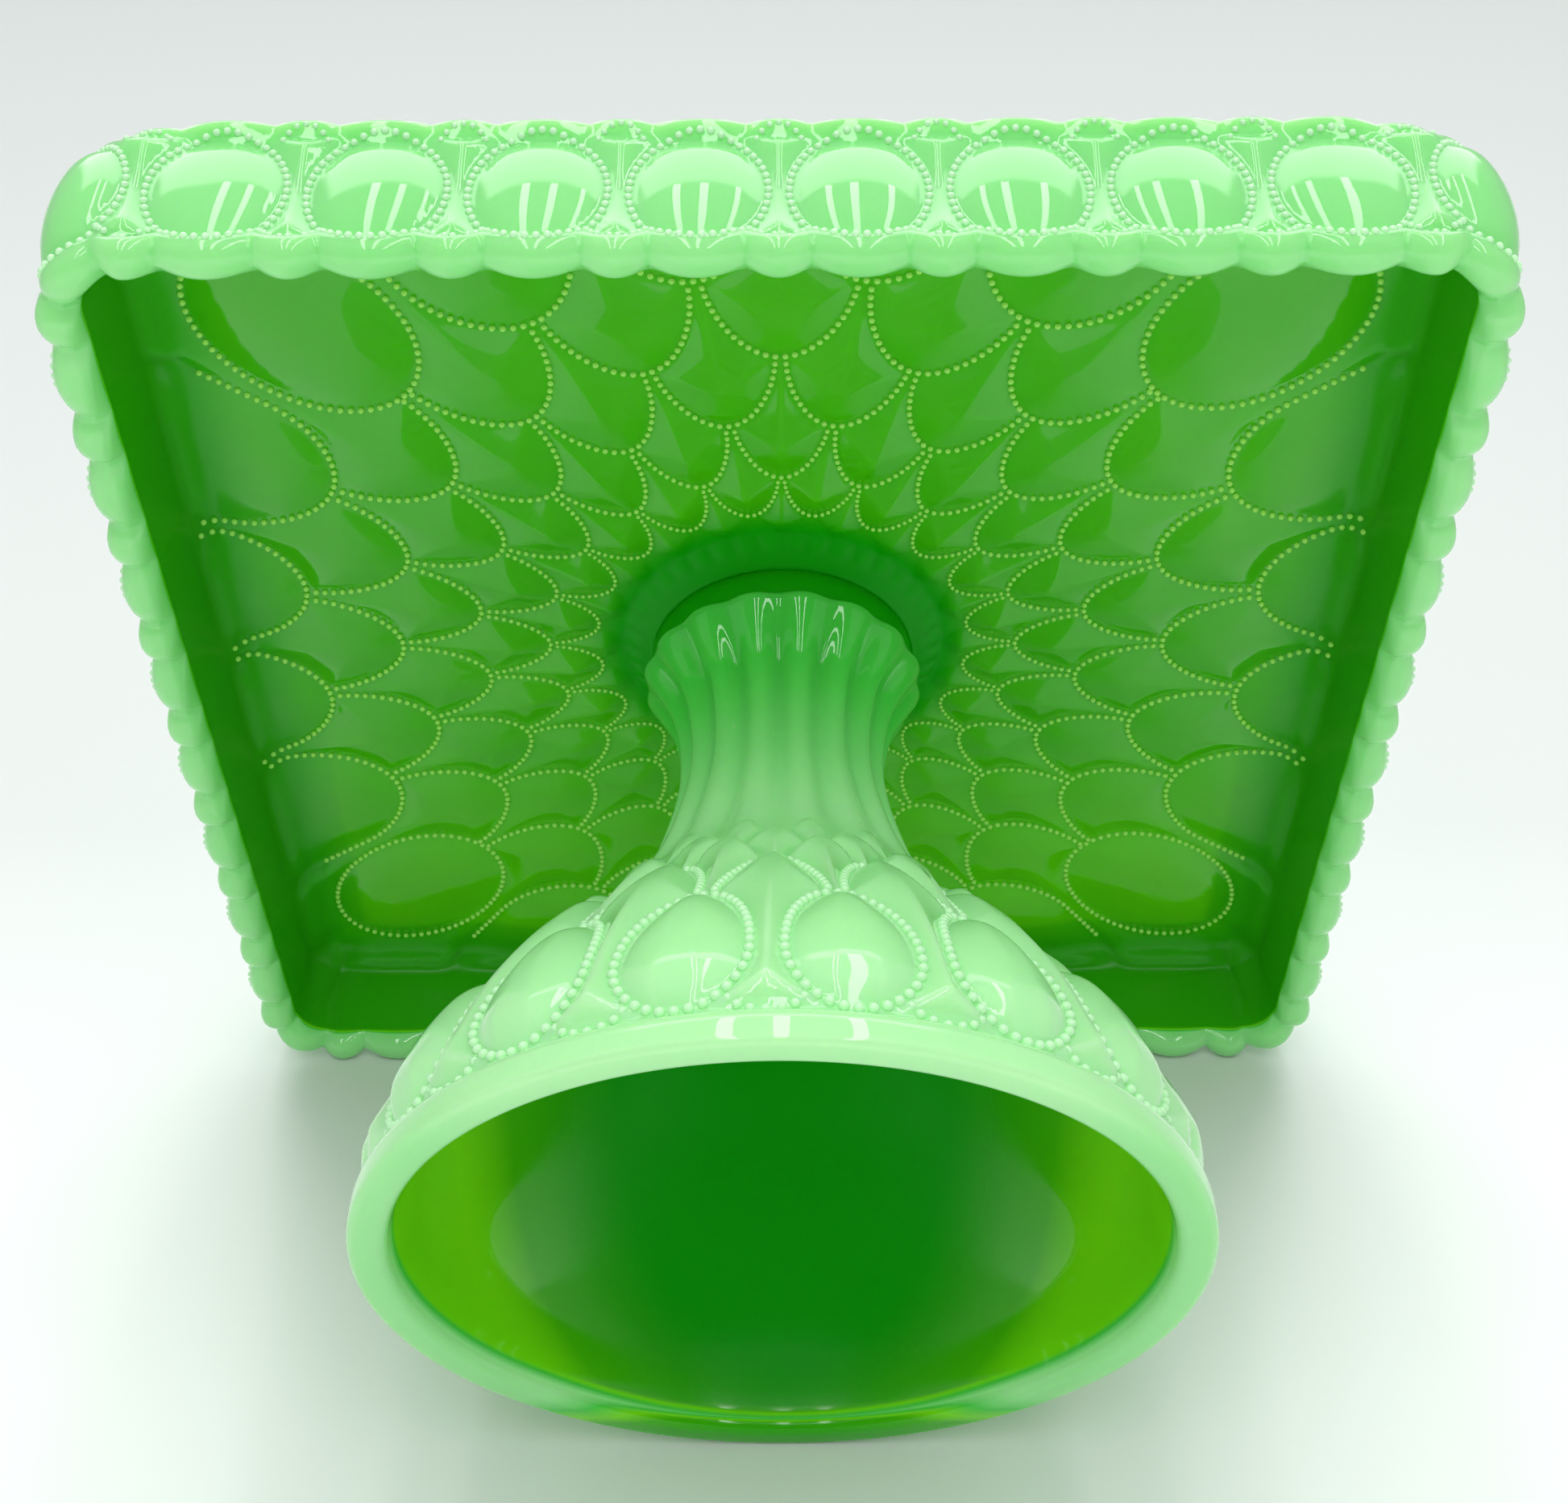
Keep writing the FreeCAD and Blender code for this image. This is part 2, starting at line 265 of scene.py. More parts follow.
def cap(reach, rise):
    """Height of a low dome at a share of its half width; its edge still has a slope."""
    return rise * (2 * np.sqrt(np.clip(1 - 0.75 * reach ** 2, 0, 1)) - 1)


def rim_path(place, outward):
    """Plan points on the rounded square; place counts pitches from the middle of the -Y side."""
    side = np.floor((place + MOONS / 2) / MOONS)
    along = (place - side * MOONS) * PITCH
    turn = np.sign(along) * np.maximum(0, np.abs(along) - STRAIGHT) / CORNER
    x = np.clip(along, -STRAIGHT, STRAIGHT) + (CORNER + outward) * np.sin(turn)
    y = -STRAIGHT - (CORNER + outward) * np.cos(turn)
    quarter = side * math.pi / 2
    return x * np.cos(quarter) - y * np.sin(quarter), x * np.sin(quarter) + y * np.cos(quarter)


def lobe(place):
    """1 on the crest of each lobe of the edge, 0 in the notches; wide under a moon, narrow between."""
    from_moon = np.abs((place % 1.0) - 0.5)
    wide = 1 - (2 * from_moon / WIDE_LOBE) ** 2
    narrow = 1 - (2 * (0.5 - from_moon) / (1 - WIDE_LOBE)) ** 2
    return np.where(from_moon < WIDE_LOBE / 2, wide, narrow)


def near_corner(place):
    """1 in the middle of a corner, falling to 0 one pitch away."""
    return smooth_step(0.95, 0.3, np.abs(place % MOONS - MOONS / 2))


# ---------------- border band

def border_outward(place, z):
    """Outward place of the band's face: ground, moons, keels between them, flare to lip and rim."""
    from_moon = ((place % 1.0) - 0.5) * PITCH
    above = z - MOON_Z
    corner = near_corner(place)
    notch = 1 - lobe(place)

    reach = np.sqrt((from_moon / MOON_SIZE[0]) ** 2 + (above / MOON_SIZE[1]) ** 2)
    swell = CORNER_MOON_SWELL * (np.abs(place % MOONS - MOONS / 2) < 0.5)
    moon = np.maximum(cap(np.minimum(reach, 1.0), MOON_RISE + swell), 0)
    under_lip = smooth_step(LIP_Z - 1, LIP_Z - 8, z)
    over_rim = smooth_step(RIM_Z + 2, RIM_Z + 9, z)
    bulge = CORNER_BULGE * corner * under_lip * over_rim

    outside = -ellipse_depth(above, from_moon, MOON_CHAIN[1], MOON_CHAIN[0])
    room = np.minimum(LIP_Z - 2.6 - z, z - RIM_Z - RIM_ROUND - 1.4)
    keel = KEEL_SLOPE * np.clip(np.minimum(outside - KEEL_GAP, room), 0, KEEL_REACH)

    flare = LIP_FLARE - LIP_FLARE_NOTCH * notch - CORNER_LIP_INSET * corner
    to_lip = smooth_step(LIP_Z - 5.5, LIP_Z - 1.0, z) * flare
    above_rim = z - RIM_Z - RIM_ROUND - RIM_NOTCH * notch
    to_rim = smooth_step(2.8, 0.0, above_rim) * (RIM_PROUD - GROUND - RIM_NOTCH_IN * notch)
    return GROUND + np.maximum(np.maximum(moon, keel) + bulge, np.maximum(to_lip, to_rim))


def border_ring(place, outward, z):
    """Ring of points round the plate."""
    x, y = rim_path(place, outward)
    return np.stack([x, y, np.broadcast_to(z, x.shape)], 1)


def lip_rings(place):
    """From the tray's edge over the lip to the top of the band's face."""
    notch = 1 - lobe(place)
    inset = CORNER_LIP_INSET * near_corner(place)
    inner = -WALL_AT_RIM
    shape = (
        (inner - 1.6, TRAY_TOP_Z, 0.0),
        (inner - 0.5, TRAY_TOP_Z + 0.4, 0.0),
        (inner, TRAY_TOP_Z + 1.4, 0.0),
        (inner + 0.1, LIP_Z - 2.0, 0.1),
        (inner + 0.7, LIP_Z - 0.8, 0.2),
        (inner + 1.8, LIP_Z - 0.15, 0.4),
        (inner + 3.4, LIP_Z, 0.6),
        (-1.9, LIP_Z - 0.05, 0.9),
        (-0.8, LIP_Z - 0.3, 1.0),
        (-0.15, LIP_Z - 0.75, 1.0),
    )
    rings = []
    for outward, z, share in shape:
        drawn_in = (LIP_NOTCH_IN * notch + inset) * share ** 2
        rings.append(border_ring(place, outward - drawn_in, z - LIP_NOTCH_DOWN * notch * share))
    return rings


def face_rings(place):
    """The band's decorated face from the lip down to the rim."""
    notch = 1 - lobe(place)
    rings = []
    for z in np.linspace(FACE_TOP_Z, FACE_LOW_Z, FACE_ROWS):
        dip = LIP_NOTCH_DOWN * smooth_step(LIP_Z - 5, LIP_Z - 1, z)
        lift = RIM_NOTCH * smooth_step(RIM_Z + 11, RIM_Z + RIM_ROUND, z)
        level = z + (lift - dip) * notch
        rings.append(border_ring(place, border_outward(place, level), level))
    return rings


def rim_rings(place):
    """The rounded rim: pillows with notches between, from the face round to the inner wall."""
    notch = 1 - lobe(place)
    shape = []
    for step in range(1, RIM_STEPS + 1):
        share = step / RIM_STEPS
        bend = math.pi / 2 * share
        outward = RIM_PROUD - RIM_ROUND * (1 - math.cos(bend))
        shape.append((outward, RIM_ROUND * (1 - math.sin(bend)), RIM_NOTCH_IN - 0.5 * share, 1.0))
    return [border_ring(place, outward - back * notch, RIM_Z + rise + RIM_NOTCH * up * notch)
            for outward, rise, back, up in shape + list(RIM_INNER_SIDE)]


# ---------------- underside

def scale_depth(radius, angle, row):
    """Distance inside the nearest scale of a row; negative between its scales and inside its tips."""
    off = (angle - row["turn"] * SCALE_STEP + SCALE_STEP / 2) % SCALE_STEP - SCALE_STEP / 2
    along = np.minimum(radius - row["belly"], 0)
    return ellipse_depth(along, off * radius, row["belly"] - row["tip"], SCALE_HALF * radius)


def oval_depth(radius, angle):
    """Distance inside the corner oval of the same quarter, and the turn from its diagonal."""
    off = (angle + math.pi / 2) % (math.pi / 2) - math.pi / 4
    along = radius * np.cos(off) - OVAL_FROM_AXIS * math.sqrt(2)
    return ellipse_depth(along, radius * np.sin(off), OVAL_SIZE[0], OVAL_SIZE[1]), off


def row_depth(radius, angle, index):
    """Distance inside a row's scales; in the outermost row the one on each diagonal is a closed oval."""
    plain = scale_depth(radius, angle, SCALE_ROWS[index])
    if index > 0:
        return plain
    oval, off = oval_depth(radius, angle)
    return np.where(np.abs(off) < SCALE_STEP / 2, oval, plain)


def scale_height(room, rise, reach, keel):
    """Height of a scale at a distance inside its ledge: a soft dome, a keel or a mix of the two."""
    share = np.clip(room / reach, 0, 1.2)
    soft = 1 - (1 - np.minimum(share, 1)) ** 2
    return rise * ((1 - keel) * soft + keel * KEEL_STEEPNESS * share)


def underside_relief(radius, angle):
    """How far the scale pattern stands down from the tray's underside."""
    off = oval_depth(radius, angle)[1]
    relief = np.zeros_like(radius)
    nearest = np.full_like(radius, np.inf)
    open_ground = np.ones_like(radius, dtype=bool)
    for index, row in enumerate(SCALE_ROWS):
        depth = row_depth(radius, angle, index)
        nearest = np.minimum(nearest, np.abs(depth))
        is_oval = (np.abs(off) < SCALE_STEP / 2) & (index == 0)
        rise = np.where(is_oval, OVAL_RISE, row["rise"])
        reach = np.where(is_oval, OVAL_SIZE[1] - PEARL_LEDGE, row["reach"])
        height = scale_height(nearest - PEARL_LEDGE, rise, reach, row["keel"])
        relief = np.where(open_ground & (depth > 0), height, relief)
        open_ground &= depth <= 0
    return relief


def ceiling(x, y):
    """Height of the plain surface under the tray, with the fillet along the walls."""
    wall = HALF - WALL_AT_RIM - WALL_DRAFT
    into = np.clip(INNER_FILLET - (wall - np.maximum(np.abs(x), np.abs(y))), 0, INNER_FILLET * 0.999)
    return UNDERSIDE_Z - INNER_FILLET * (1 - np.sqrt(1 - (into / INNER_FILLET) ** 2))


def wall_and_fillet_rings(even, polar):
    """Down the inner wall and over its fillet, while even columns turn to columns at even angles."""
    fillet_z = UNDERSIDE_Z - INNER_FILLET
    wall_steps = 7
    fillet_steps = 9
    wall_share = 0.6                # how much of that turn is made on the wall
    rings = []
    for step in range(wall_steps):
        share = step / wall_steps
        place = even + (polar - even) * smooth_step(0, 1, share * wall_share)
        outward = -WALL_AT_RIM - WALL_DRAFT * share
        rings.append(border_ring(place, outward, INNER_WALL_Z + share * (fillet_z - INNER_WALL_Z)))
    for step in range(fillet_steps):
        bend = step / fillet_steps * math.pi / 2
        share = wall_share + (1 - wall_share) * step / fillet_steps
        place = even + (polar - even) * smooth_step(0, 1, share)
        outward = UNDERSIDE_EDGE + INNER_FILLET * math.cos(bend)
        x, y = rim_path(place, outward)
        fade = smooth_step(0.15, 0.75, math.sin(bend))
        relief = underside_relief(np.hypot(x, y), np.arctan2(x, -y)) * fade
        x, y = rim_path(place, outward - relief * math.cos(bend))
        rings.append(np.stack([x, y, fillet_z + (INNER_FILLET - relief) * math.sin(bend)], 1))
    return rings


def underside_rings():
    """From the inner wall over the fillet and the scales to the boss in the middle."""
    count = SCALES * UNDERSIDE_COLUMNS
    even = np.arange(count) / count * 4 * MOONS
    angle = np.arange(count) / count * math.tau
    fine = np.linspace(0, 4 * MOONS, 14401)
    fine_x, fine_y = rim_path(fine, UNDERSIDE_EDGE)
    polar = np.interp(angle, np.unwrap(np.arctan2(fine_x, -fine_y)), fine)
    rings = wall_and_fillet_rings(even, polar)
    edge = np.hypot(*rim_path(polar, UNDERSIDE_EDGE))
    inner = SCALE_ROWS[-1]["tip"]
    for share in np.linspace(0, 1, UNDERSIDE_ROWS):
        radius = edge + (inner - edge) * share ** 0.93
        rings.append(around(radius, angle, UNDERSIDE_Z - underside_relief(radius, angle)))
    return rings


def boss_rings():
    """The low fluted cone between the scales and the wafer."""
    count = SCALES * UNDERSIDE_COLUMNS // 2
    angle = np.arange(count) / count * math.tau
    flute = np.abs(np.sin(BOSS_FLUTES / 2 * angle))
    start = SCALE_ROWS[-1]["tip"] - 0.4
    edge, edge_z = BOSS_COLLAR
    rings = []
    for share in (0.08, 0.2, 0.34, 0.48, 0.62, 0.76, 0.9, 1.0):
        radius = start + (edge - start) * share
        drop = (UNDERSIDE_Z - edge_z) * share ** 1.2
        fluting = BOSS_FLUTING * flute * smooth_step(0.0, 0.15, share) * smooth_step(0.7, 0.15, share)
        rings.append(around(radius, angle, UNDERSIDE_Z - drop - fluting))
    rings.append(lathe_ring(edge - 0.35, edge_z + 0.05, count))
    rings.append(lathe_ring(edge - 0.55, edge_z + 0.4, count))
    rings += [lathe_ring(radius, BOSS_Z, count) for radius in (edge - 0.7, 16.0, 5.0)]
    return rings


def tray_rings(columns):
    """The plain top of the tray, from near its middle outward."""
    place = np.arange(columns) / columns * 4 * MOONS
    x, y = rim_path(place, -WALL_AT_RIM - 3.0)
    flat = np.full(columns, TRAY_TOP_Z)
    return [np.stack([x * share, y * share, flat], 1) for share in (0.05, 0.3, 0.6, 0.85, 1.0)]


def plate_painted_shade(points, top_count, outside_count):
    """Painted shade per point: none on the tray, a touch on the band's face, deep on the underside,
    deeper still on its walls and boss, a little less on the underside's side near the floor, which is
    painted light.
    """
    x, y, z = points.T
    # painted shade on the band's face, less towards the rim
    face = FACE_TINT - (FACE_TINT - RIM_TINT) * smooth_step(RIM_Z + 6.0, RIM_Z + 2.0, z)
    # painted shade on the inner walls and the boss
    wall = smooth_step(HALF - 26.0, HALF - 14.0, np.maximum(np.abs(x), np.abs(y))) * (z > RIM_Z + 5.0)
    boss = 1 - smooth_step(34.0, 44.0, np.hypot(x, y))
    # painted light: less shade on the underside's side near the floor
    floor_side = UNDERSIDE_FLOOR_SIDE * smooth_step(20.0, 100.0, y) * (1 - wall)
    tint = UNDERSIDE_TINT + np.maximum(WALL_TINT * wall, BOSS_TINT * boss) - floor_side
    tint[top_count:outside_count] = face[top_count:outside_count]
    tint[:top_count] = 0.0
    tint[-2] = 0.0
    return tint


def make_plate():
    """Tray, lip, border band, scaled underside and boss as one closed shell."""
    columns = 4 * MOONS * BORDER_COLUMNS
    place = np.arange(columns) / columns * 4 * MOONS
    top = tray_rings(columns // 4) + [border_ring(place[::2], -WALL_AT_RIM - 2.2, TRAY_TOP_Z)]
    outside = top + lip_rings(place) + face_rings(place) + rim_rings(place)
    points, faces = join_rings(outside + underside_rings() + boss_rings())
    top_count = sum(len(ring) for ring in top)
    outside_count = sum(len(ring) for ring in outside)
    return make_piece("plate_pressing", points, faces, plate_painted_shade(points, top_count, outside_count))


# ---------------- pedestal

# Radius and height along the bell and stem, from the plain band of the foot up to the stem's lip.
BELL = ((73.4, 7.4), (72.2, 17.0), (66.8, 29.0), (55.0, 44.5), (41.8, 60.0), (30.8, 76.0),
        (24.7, 90.0), (21.1, 107.0), (22.9, 123.0), (STEM_TOP_RADIUS, STEM_TOP_Z - STEM_LIP_ROUNDING))
HOLLOW = ((FOOT_INSIDE, FOOT_ROUNDING), (63.5, 20.0), (46.0, 44.0), (28.0, 65.0), (15.5, 88.0),
          (1.0, 107.5))
STEM_SPLIT_Z = 88.0                 # the mesh is coarser round the stem than round the bell

# Rows of teardrops on the foot, from the lowest up: height of tip and belly, turn in flute steps, half
# width in degrees, and rise, reach, keel and pearl size as for the scales
FOOT_ROWS = (
    dict(tip=40.8, belly=21.0, turn=0.5, half=9.0, rise=2.9, reach=10.0, keel=0.0, pearl=1.9),
    dict(tip=58.5, belly=39.5, turn=0.0, half=9.9, rise=3.2, reach=7.5, keel=0.1, pearl=1.8),
    dict(tip=66.5, belly=54.5, turn=0.5, half=9.9, rise=3.2, reach=4.2, keel=0.0, pearl=0.0),
    dict(tip=74.0, belly=65.0, turn=0.0, half=9.6, rise=1.7, reach=3.4, keel=0.0, pearl=0.0),
    dict(tip=78.5, belly=73.0, turn=0.5, half=7.0, rise=0.6, reach=2.0, keel=0.0, pearl=0.0),
)
DIAMOND = dict(foot=8.2, z=12.0, top=17.6, half=4.3, rise=1.7)
CHAIN_UNDER_DIAMOND = dict(half=5.0, top=11.5, foot=7.5, pearl=1.7)
FOOT_LEDGE = 0.8                    # flat ledge along a teardrop's edge
LOWEST_EDGE = 0.9                   # the lowest row starts this far up the bell
FLUTE_DEPTH = 1.7
FLUTE_FLARE_DEPTH = 0.6             # deeper where the stem flares
PEDESTAL_TURN = math.radians(-1.7)  # its pattern is turned a little from the plate's


def spline_through(points, count):
    """Catmull-Rom curve through (radius, z) points, sampled evenly along its length."""
    control = np.array(points, dtype=float)
    control = np.concatenate([[2 * control[0] - control[1]], control, [2 * control[-1] - control[-2]]])
    pieces = []
    for index in range(len(points) - 1):
        a, b, c, d = control[index:index + 4]
        share = np.linspace(0, 1, 60, endpoint=False)[:, None]
        pieces.append(0.5 * (2 * b + (c - a) * share + (2 * a - 5 * b + 4 * c - d) * share ** 2
                             + (3 * b - a - 3 * c + d) * share ** 3))
    line = np.concatenate(pieces + [control[-2][None]])
    length = np.concatenate([[0], np.cumsum(np.hypot(*np.diff(line, axis=0).T))])
    even = np.linspace(0, length[-1], count)
    return np.stack([np.interp(even, length, line[:, 0]), np.interp(even, length, line[:, 1])], 1), even


BELL_LINE, BELL_LENGTH = spline_through(BELL, 1200)


def bell_at(length):
    """Radius, height and outward normal of the bell at a length measured from the plain band."""
    radius = np.interp(length, BELL_LENGTH, BELL_LINE[:, 0])
    z = np.interp(length, BELL_LENGTH, BELL_LINE[:, 1])
    ahead = np.stack([np.interp(length + 0.5, BELL_LENGTH, BELL_LINE[:, side])
                      - np.interp(length - 0.5, BELL_LENGTH, BELL_LINE[:, side]) for side in (0, 1)])
    ahead = ahead / np.hypot(*ahead)
    return radius, z, ahead[1], -ahead[0]


def length_at_height(z):
    """Length along the bell at a height; the bell always climbs."""
    return np.interp(z, BELL_LINE[:, 1], BELL_LENGTH)


def foot_depth(length, angle, radius, row, closed):
    """Distance inside the nearest teardrop of a row; a closed row is rounded below its belly too."""
    off = (angle - row["turn"] * FLUTE_STEP + FLUTE_STEP / 2) % FLUTE_STEP - FLUTE_STEP / 2
    belly = length_at_height(row["belly"])
    half = length_at_height(row["tip"]) - belly
    along = length - belly
    if closed:
        along = np.where(along < 0, along * half / (belly - LOWEST_EDGE), along)
    else:
        along = np.maximum(along, 0)
    return ellipse_depth(along, off * radius, half, math.radians(row["half"]) * radius)


def foot_relief(length, angle, radius):
    """How far the teardrops stand out of the bell."""
    relief = np.zeros_like(angle)
    nearest = np.full_like(angle, np.inf)
    open_ground = np.ones_like(angle, dtype=bool)
    for index, row in enumerate(FOOT_ROWS):
        depth = foot_depth(length, angle, radius, row, index == 0)
        nearest = np.minimum(nearest, np.abs(depth))
        room = np.minimum(nearest, np.maximum(length - 0.5, 0)) - FOOT_LEDGE
        height = scale_height(room, row["rise"], row["reach"], row["keel"])
        relief = np.where(open_ground & (depth > 0), height, relief)
        open_ground &= depth <= 0
    return relief


def diamond_relief(length, angle):
    """Small keeled diamonds between the feet of the lowest teardrops."""
    off = np.abs((angle + FLUTE_STEP / 2) % FLUTE_STEP - FLUTE_STEP / 2)
    along = length - length_at_height(DIAMOND["z"])
    half = length_at_height(DIAMOND["top"]) - length_at_height(DIAMOND["z"])
    if along < 0:
        half = length_at_height(DIAMOND["z"]) - length_at_height(DIAMOND["foot"])
    return DIAMOND["rise"] * np.clip(1 - off / math.radians(DIAMOND["half"]) - abs(along) / half, 0, 1)


def flute_cut(z, angle):
    """How deep the stem's flutes cut at a height; their ends fade into the petals below."""
    groove = (0.5 + 0.5 * np.cos(FLUTES * angle)) ** 1.3
    flare = smooth_step(110.0, 125.0, z)
    shallow_end = 1.3 * smooth_step(126.0, STEM_TOP_Z, z)
    depth = FLUTE_DEPTH + FLUTE_FLARE_DEPTH * flare - shallow_end
    return depth * groove * smooth_step(66.0, 84.0, z)


def pedestal_ring(length, columns):
    """Ring round the bell or stem at a length along the outline, with relief and flutes."""
    angle = np.arange(columns) / columns * math.tau
    radius, z, out, up = bell_at(length)
    tears = foot_relief(np.full(columns, length), angle, radius)
    relief = np.maximum(tears, diamond_relief(length, angle))
    ring = radius + (relief - flute_cut(z, angle)) * out
    return around(ring, angle + PEDESTAL_TURN, z + relief * up)


def foot_ring_rings(columns):
    """The plain rounded ring that the foot stands on, from the hollow's edge to the bell."""
    rings = []
    for bend in np.linspace(0, math.pi / 2, 6):
        radius = FOOT_INSIDE + FOOT_ROUNDING * (1 - math.cos(bend))
        rings.append(lathe_ring(radius, FOOT_ROUNDING * (1 - math.sin(bend)), columns))
    for bend in np.linspace(0, math.pi / 2, 7):
        radius = FOOT_RADIUS - FOOT_OUTER_ROUNDING * (1 - math.sin(bend))
        rings.append(lathe_ring(radius, FOOT_OUTER_ROUNDING * (1 - math.cos(bend)), columns))
    return rings + [lathe_ring(FOOT_RADIUS - inset, z, columns) for inset, z in FOOT_RING_TOP]


def stem_lip_rings(columns):
    """The rounded, scalloped edge at the stem's upper end."""
    edge = pedestal_ring(BELL_LENGTH[-1] - 0.05, columns)
    rings = []
    for step in range(1, 5):
        bend = math.pi / 2 * step / 4
        ring = edge.copy()
        ring[:, :2] *= 1 - STEM_LIP_ROUNDING * (1 - math.cos(bend)) / STEM_TOP_RADIUS
        ring[:, 2] = STEM_TOP_Z - STEM_LIP_ROUNDING * (1 - math.sin(bend))
        rings.append(ring)
    return rings


def pedestal_painted_shade(points, inner_count):
    """Painted shade per point. Inside: deepest at its end and down its front and back, paler at the
    sides as painted light coming through the walls. Outside: paler, deeper near the plate, on the ring's
    face and most where the ring lies near the floor.
    """
    x, y, z = points.T
    # inside: painted shade, deepest at the end and down the front and back, with painted light at the
    # sides
    sideways = (np.abs(x) / np.maximum(np.hypot(x, y), 1.0)) ** 1.5
    inside = BELL_SIDE_TINT + (1 - BELL_SIDE_TINT) * smooth_step(22.0, 66.0, z + 50.0 * (1 - sideways))
    # painted shade at the stem's upper end, under the plate
    stem = STEM_TINT * smooth_step(75.0, 130.0, z)
    # painted shade on the ring's face, left off its uppermost -Y side
    ring_face = FOOT_FACE_TINT * smooth_step(2.5, 0.5, z) * smooth_step(-65.0, -40.0, y)
    # painted shade where the ring's face lies near the floor
    near_floor = FOOT_FLOOR_TINT * smooth_step(3.4, 1.4, z) * smooth_step(52.0, 72.0, y)
    tint = stem + ring_face + near_floor
    tint[:inner_count] = inside[:inner_count]
    tint[-2] = 1.0
    return tint


def make_pedestal():
    """Foot ring, bell with teardrops, fluted stem and smooth hollow as one closed shell."""
    fine = FLUTES * PEDESTAL_COLUMNS
    coarse = fine // 2
    split = length_at_height(STEM_SPLIT_Z)
    top = BELL_LENGTH[-1] - 0.05
    hollow_line = spline_through(HOLLOW, 44)[0][::-1]
    inner = [lathe_ring(radius, z, coarse // 2) for radius, z in hollow_line[:-1]]
    edge = [lathe_ring(FOOT_INSIDE, FOOT_ROUNDING + 0.4, coarse)]
    bell = [pedestal_ring(length, fine) for length in np.linspace(0.2, split, 92)]
    stem = [pedestal_ring(length, coarse) for length in np.linspace(split + 1.2, top, 48)]
    end = [lathe_ring(radius, STEM_TOP_Z, coarse // 2) for radius in (25.0, 10.0)]
    rings = inner + edge + foot_ring_rings(fine) + bell + stem + stem_lip_rings(coarse) + end
    points, faces = join_rings(rings)
    inner_count = sum(len(ring) for ring in inner)
    return make_piece("pedestal_pressing", points, faces, pedestal_painted_shade(points, inner_count))


def make_wafer():
    """Disc of glass that joins the two pressings, slightly uneven as hot glass is."""
    columns = 144
    angle = np.arange(columns) / columns * math.tau
    proud = 0.7 + 0.12 * np.sin(3 * angle + 0.6) + 0.08 * np.sin(7 * angle)
    low = WAFER_LOW[2]
    high = WAFER_HIGH[2]
    radius = WAFER_HIGH[0] - 0.9
    rings = [lathe_ring(radius * share, high, columns) for share in (0.3, 0.9)]
    for bend in np.linspace(0, math.pi, 13):
        z = high + (low - high) * (1 - math.cos(bend)) / 2
        rings.append(around(radius + proud * math.sin(bend), angle, z))
    rings += [lathe_ring(radius * share, low, columns) for share in (0.9, 0.3)]
    points, faces = join_rings(rings)
    return make_piece("wafer_disc", points, faces, np.full(len(points), WAFER_TINT))


# ---------------- pearls

# Distances between pearls: under the tray and on the foot in pearl sizes, on the band in millimetres
PEARL_SPACING = 1.52
FOOT_PEARL_SPACING = 1.22
MOON_PEARLS = dict(size=1.5, pitch=1.92)
ARCH_PEARLS = dict(size=1.2, pitch=1.75)  # in arcs over the keels
ROW_PEARLS = dict(size=1.3, pitch=1.6)  # in short rows under them


def even_samples(points, pitch):
    """Points spaced evenly along a polyline."""
    length = np.concatenate([[0], np.cumsum(np.linalg.norm(np.diff(points, axis=0), axis=1))])
    count = max(2, int(round(length[-1] / pitch)) + 1)
    even = np.linspace(0, length[-1], count)
    return np.stack([np.interp(even, length, points[:, side]) for side in range(points.shape[1])], 1)


def oval_line(centre):
    """Edge of the corner oval in plan, on the diagonal at an angle."""
    turn = np.linspace(0, math.tau, 241)
    along = OVAL_FROM_AXIS * math.sqrt(2) + OVAL_SIZE[0] * np.cos(turn)
    across = OVAL_SIZE[1] * np.sin(turn)
    x = along * math.sin(centre) + across * math.cos(centre)
    y = -along * math.cos(centre) + across * math.sin(centre)
    return np.stack([x, y], 1)


def scale_line(row, centre, outermost):
    """Edge of a scale in plan; in the outermost row its sides run on towards the wall."""
    bend = np.linspace(-math.pi / 2, math.pi / 2, 200)
    radius = row["belly"] - (row["belly"] - row["tip"]) * np.cos(bend)
    off = SCALE_HALF * np.sin(bend)
    if outermost:
        beyond = row["belly"] + np.linspace(0, 14, 30)
        radius = np.concatenate([beyond[::-1], radius, beyond])
        off = np.concatenate([np.full(30, -SCALE_HALF), off, np.full(30, SCALE_HALF)])
    return around(radius, centre + off, 0.0)[:, :2]


def clear_of_others(line, index, gap):
    """Which points of a row's edge lie clear of the walls and of the rows outside it."""
    x, y = line.T
    keep = np.maximum(np.abs(x), np.abs(y)) < HALF - WALL_AT_RIM - WALL_DRAFT - 1.2
    for outer in range(index):
        keep &= row_depth(np.hypot(x, y), np.arctan2(x, -y), outer) < -gap
    return keep


def underside_pearls():
    """Centres and radii of the pearls along the scales' edges."""
    groups = []
    for index, row in enumerate(SCALE_ROWS):
        pearl = row["pearl"]
        if pearl == 0:
            continue
        for scale in range(SCALES):
            centre = (scale + row["turn"]) * SCALE_STEP
            on_diagonal = abs((centre / (math.pi / 2)) % 1 - 0.5) < 0.01
            if index == 0 and on_diagonal:
                line = even_samples(oval_line(centre), pearl * PEARL_SPACING)[:-1]
            else:
                line = even_samples(scale_line(row, centre, index == 0), pearl * PEARL_SPACING)
            x, y = line[clear_of_others(line, index, 0.45 * pearl)].T
            groups.append(np.stack([x, y, ceiling(x, y) - 0.2, np.full(len(x), 0.51 * pearl)], 1))
    return np.concatenate(groups)


